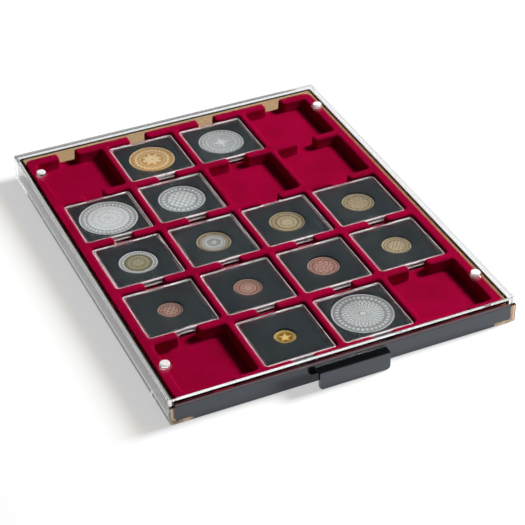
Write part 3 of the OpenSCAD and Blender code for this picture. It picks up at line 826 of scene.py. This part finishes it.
# Camera at the photograph's viewing angle, worked out from the box's corners
cameraView = {"place": (-0.37901, -0.86131, 0.67619), "ahead": (0.33018, 0.73642, -0.59048),
              "up": (0.25265, 0.53379, 0.80699), "lens": 117.64, "sensor": 36.0}
ahead = Vector(cameraView["ahead"]).normalized()
side = ahead.cross(Vector(cameraView["up"])).normalized()
above = side.cross(ahead)
camera = bpy.data.cameras.new("camera")
camera.lens = cameraView["lens"]
camera.sensor_width = cameraView["sensor"]
cameraObject = bpy.data.objects.new("camera", camera)
cameraObject.matrix_world = Matrix((
    (side.x, above.x, -ahead.x, cameraView["place"][0]),
    (side.y, above.y, -ahead.y, cameraView["place"][1]),
    (side.z, above.z, -ahead.z, cameraView["place"][2]),
    (0, 0, 0, 1)))
scene.collection.objects.link(cameraObject)
scene.camera = cameraObject
print("camera:", cameraView["lens"], "mm lens")

# Pale studio: white floor and backdrop, a key from the right, a low lamp that draws the shadow on the floor,
# two strips that show in the capsules' edges and a dim one on the case, a dim ceiling, and a dark card where
# the cover would mirror the room. A lamp has its direction, distance, size, power and what it lights.
studio = {"floorHalf": 3.0, "floorDrop": 0.0003, "floorTone": "#D8D8D8", "lift": 0.53, "wallShadeLift": 0.24,
          "wallDepth": 2, "whiteFrom": (0.12, 0.6), "bounces": 128, "clearBounces": 96, "passBounces": 64,
          "fill": {"from": (0.85, 0.2, 0.48), "edge": (-0.2, 0.95), "level": (0.02, 0.14)},
          "mirror": 0.55, "ceiling": 0.14, "horizon": 1.0, "horizonEdge": (0.12, 0.42), "pipedDepth": 12,
          "card": (0.33, 0.736, 0.59), "cardEdge": (0.966, 0.986), "cardDepth": 7,
          "lamps": {"key": ((0.73, 0.11, 0.67), 1.7, 0.5, 41.0, "object"),
                    "low": ((0.885, -0.02, 0.466), 1.7, 0.6, 52.5, "floor"),
                    "edgeStrip": ((-0.57, 0.736, 0.31), 1.7, 0.9, 105.0, "capsules"),
                    "frontStrip": ((0.3, -0.5, 0.81), 1.7, 0.9, 75.0, "capsules"),
                    "caseStrip": ((0.3, -0.5, 0.81), 1.7, 0.9, 4.0, "case")}}


def makeFloor():
    # white paper, which the camera and glossy and clear surfaces see brighter than it lights the object
    material, tree = newMaterial("white paper sweep")
    paper = addNode(tree, "BsdfDiffuse", {"Color": linearColour(studio["floorTone"])})
    path = addNode(tree, "LightPath")
    seen = addNode(tree, "Math", {0: path.outputs["Is Camera Ray"], 1: path.outputs["Is Glossy Ray"]},
                   operation="ADD")
    shown = addNode(tree, "Math", {0: seen.outputs[0], 1: path.outputs["Is Transmission Ray"]},
                    operation="ADD", use_clamp=True)
    # painted shade: light carried down inside a clear wall comes from the ground under it, where the paper is
    # dimmed to stand in for the wall's shadow
    outside = addNode(tree, "Math", {0: path.outputs["Glossy Depth"], 1: studio["wallDepth"]},
                      operation="LESS_THAN")
    lift = addNode(tree, "MapRange", {"Value": outside.outputs[0], "To Min": studio["wallShadeLift"],
                                      "To Max": studio["lift"]})
    # far from the object the paper fades to plain white
    place = addNode(tree, "TexCoord")
    reach = addNode(tree, "VectorMath", {0: place.outputs["Object"]}, operation="LENGTH")
    faded = addNode(tree, "MapRange", {"Value": reach.outputs["Value"], "From Min": studio["whiteFrom"][0],
                                       "From Max": studio["whiteFrom"][1]})
    pale = addNode(tree, "Math", {0: lift.outputs["Result"], 1: faded.outputs["Result"]}, operation="MAXIMUM")
    level = addNode(tree, "Math", {0: shown.outputs[0], 1: pale.outputs[0]}, operation="MULTIPLY")
    glow = addNode(tree, "Emission", {"Color": (1, 1, 1, 1), "Strength": level.outputs[0]})
    both = addNode(tree, "AddShader", {0: paper.outputs[0], 1: glow.outputs[0]})
    addNode(tree, "OutputMaterial", {"Surface": both.outputs[0]})
    half = studio["floorHalf"]
    low = -studio["floorDrop"]
    mesh = bpy.data.meshes.new("floor")
    mesh.from_pydata([(-half, -half, low), (half, -half, low), (half, half, low), (-half, half, low)], [],
                     [(0, 1, 2, 3)])
    mesh.materials.append(material)
    floor = bpy.data.objects.new("floor", mesh)
    scene.collection.objects.link(floor)
    return floor


def makeWorld():
    world = bpy.data.worlds.new("studio")
    scene.world = world
    world.use_nodes = True
    tree = world.node_tree
    tree.nodes.clear()
    path = addNode(tree, "LightPath")
    where = addNode(tree, "TexCoord")
    # matt surfaces get a fill from the right, and clear and glossy ones a room with a bright horizon and a
    # card: each tone has a direction, the cosines of the angle to it between which it changes, and two levels
    tones = {"fill": (studio["fill"]["from"], studio["fill"]["edge"], studio["fill"]["level"]),
             "room": ((0, 0, 1), studio["horizonEdge"], (studio["horizon"], studio["mirror"])),
             "ceiling": ((0, 0, 1), studio["horizonEdge"], (studio["horizon"], studio["ceiling"])),
             "card": (studio["card"], studio["cardEdge"], (1.0, 0.0))}
    shade = {}
    for tone, (direction, edge, level) in tones.items():
        towards = tuple(Vector(direction).normalized())
        cosine = addNode(tree, "VectorMath", {0: where.outputs["Generated"], 1: towards},
                         operation="DOT_PRODUCT")
        change = addNode(tree, "MapRange", {"Value": cosine.outputs["Value"],
                                            "From Min": edge[0], "From Max": edge[1],
                                            "To Min": level[0], "To Max": level[1]},
                         interpolation_type="SMOOTHSTEP")
        shade[tone] = change.outputs["Result"]
    # the card and a dim ceiling show in the cover and the lids; light that went deeper than them passes both
    deep = addNode(tree, "Math", {0: path.outputs["Transmission Depth"], 1: studio["cardDepth"]},
                   operation="GREATER_THAN")
    uncovered = addNode(tree, "Math", {0: shade["card"], 1: deep.outputs[0]}, operation="MAXIMUM")
    around = addNode(tree, "Mix", {"Factor": deep.outputs[0], 2: shade["ceiling"], 3: shade["room"]})
    mirrored = addNode(tree, "Math", {0: around.outputs[0], 1: uncovered.outputs[0]}, operation="MULTIPLY")
    # light that a clear plate carries along to its edge comes from the white backdrop
    piped = addNode(tree, "Math", {0: path.outputs["Glossy Depth"], 1: studio["pipedDepth"]},
                    operation="GREATER_THAN")
    seen = addNode(tree, "Math", {0: mirrored.outputs[0], 1: piped.outputs[0]}, operation="MAXIMUM")
    sharp = addNode(tree, "Math", {0: path.outputs["Is Glossy Ray"], 1: path.outputs["Is Transmission Ray"]},
                    operation="ADD", use_clamp=True)
    lit = addNode(tree, "Mix", {"Factor": sharp.outputs[0], 2: shade["fill"], 3: seen.outputs[0]})
    shown = addNode(tree, "Mix", {"Factor": path.outputs["Is Camera Ray"], 2: lit.outputs[0], 3: 1.0})
    sky = addNode(tree, "Background", {"Color": (1, 1, 1, 1), "Strength": shown.outputs[0]})
    addNode(tree, "OutputWorld", {"Surface": sky.outputs[0]})


def makeLamp(name, direction, distance, size, power, lights, floor):
    lamp = bpy.data.lights.new(name, "AREA")
    lamp.shape = "DISK"
    lamp.size = size
    lamp.energy = power
    lampObject = bpy.data.objects.new(name, lamp)
    toLamp = Vector(direction).normalized()
    lampObject.location = toLamp * distance
    lampObject.rotation_euler = toLamp.to_track_quat("Z", "Y").to_euler()
    scene.collection.objects.link(lampObject)
    # seen through the clear plastic the lamps would glare in the coins, which mirror the room instead
    lampObject.visible_transmission = False
    # the key leaves out the floor and coins, the low lamp lights the floor alone, and the strips show only
    # in clear plastic
    receivers = bpy.data.collections.new(name + " receivers")
    lampObject.light_linking.receiver_collection = receivers
    clearPieces = {"capsules": ("lidMoulding", "baseMoulding"), "case": ("caseMoulding",)}
    if lights in clearPieces:
        lampObject.visible_diffuse = False
        for piece in scene.objects:
            if piece.name.startswith(clearPieces[lights]):
                receivers.objects.link(piece)
        return
    receivers.objects.link(floor)
    if lights == "object":
        for piece in scene.objects:
            if piece.name.startswith("coinRelief"):
                receivers.objects.link(piece)
    for member in receivers.collection_objects:
        member.light_linking.link_state = "INCLUDE" if lights == "floor" else "EXCLUDE"


floor = makeFloor()
makeWorld()
for name, values in studio["lamps"].items():
    makeLamp(name, *values, floor)
scene.cycles.max_bounces = studio["bounces"]
scene.cycles.glossy_bounces = studio["clearBounces"]  # light held inside a clear plate counts as glossy
scene.cycles.transmission_bounces = studio["clearBounces"]
scene.cycles.transparent_max_bounces = studio["passBounces"]
scene.view_settings.view_transform = "Standard"
print("studio ready")
